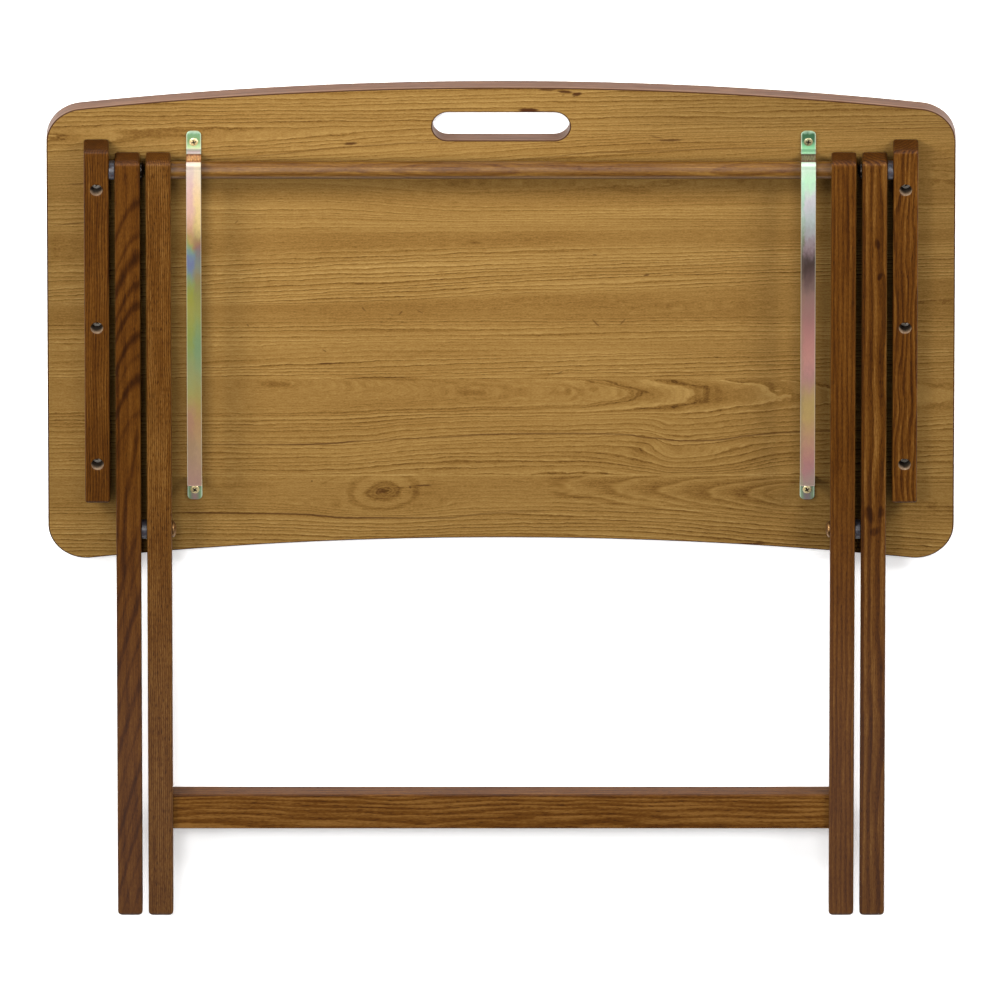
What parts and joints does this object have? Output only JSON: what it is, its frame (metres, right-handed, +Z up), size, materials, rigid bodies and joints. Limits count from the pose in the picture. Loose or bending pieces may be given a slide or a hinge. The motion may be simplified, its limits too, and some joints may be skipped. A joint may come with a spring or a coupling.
{
  "type": "folding tray table",
  "caption": "Folding tray table, folded flat: curved wood-grain tray with a hand slot, crossing stained legs on rail pivots, and a crossbar that slides under metal guide straps.",
  "frame": {"origin": "centre of the footprint on the floor, under the folded table lying on the top of its tray", "axes": "+X across the table, +Y along the legs from their feet to the edge with the hand slot, and +Z up, out of the tray's underside, which the legs lie on"},
  "size_m": [0.709, 0.725, 0.039],
  "materials": {
    "board_laminate": "golden brown wood-grain laminate with knots, satin",
    "edge_band": "dark brown edge banding, satin",
    "bright_screw": "bright zinc-plated steel",
    "yellow_screw": "yellow-chromate plated steel",
    "zinc_strap": "yellow-chromate zinc plate with pink and green sheen",
    "dark_bolt": "dark plated steel, glossy",
    "brass_bolt": "brassed steel bolt head",
    "brass_insert": "plain brass",
    "nylon": "pale translucent nylon",
    "stained_dowel": "brown stained and lacquered hardwood",
    "pin_wood": "bare beech",
    "stained_timber": "brown stained and lacquered open-grained hardwood"
  },
  "bodies": {
    "inner_frame": {"inner_leg_left": "stained_timber", "inner_leg_right": "stained_timber", "stretcher": "stained_timber", "stretcher_dowels": "pin_wood", "cross_pivot_bolt_left": "brass_bolt", "cross_pivot_bolt_right": "brass_bolt", "cross_pivot_washer_left": "nylon", "cross_pivot_washer_right": "nylon"},
    "crossbar": {"crossbar_dowel": "stained_dowel"},
    "tray": {"tray_board": "board_laminate", "tray_edge_band": "edge_band", "handle_slot_band": "edge_band", "side_rail_left": "stained_timber", "side_rail_right": "stained_timber", "rail_screws": "bright_screw", "guide_strap_left": "zinc_strap", "guide_strap_right": "zinc_strap", "strap_screws": "yellow_screw", "top_pivot_bolt_left": "dark_bolt", "top_pivot_bolt_right": "dark_bolt", "top_pivot_insert_left": "brass_insert", "top_pivot_insert_right": "brass_insert", "top_pivot_washer_left": "nylon", "top_pivot_washer_right": "nylon"},
    "outer_legs": {"outer_leg_left": "stained_timber", "outer_leg_right": "stained_timber", "cross_pivot_insert_left": "brass_insert", "cross_pivot_insert_right": "brass_insert"}
  },
  "joints": [
    {"name": "inner_legs_swing", "type": "hinge", "parent": "crossbar", "child": "inner_frame", "pos_m": [0, 0.2975, 0.0265], "axis": [-1, 0, 0], "range_deg": [0, 114.78]},
    {"name": "crossbar_slide", "type": "slide", "parent": "tray", "child": "crossbar", "axis": [0, -1, 0], "range_m": [0, 0.267]},
    {"name": "outer_legs_swing", "type": "hinge", "parent": "tray", "child": "outer_legs", "pos_m": [0, 0.2975, 0.0265], "axis": [-1, 0, 0], "range_deg": [0, 65.22]}
  ],
  "couplings": [
    {"joint": "crossbar_slide", "follows": "inner_legs_swing", "m_per_rad": 0.13328},
    {"joint": "outer_legs_swing", "follows": "inner_legs_swing", "ratio": 0.5682}
  ]
}
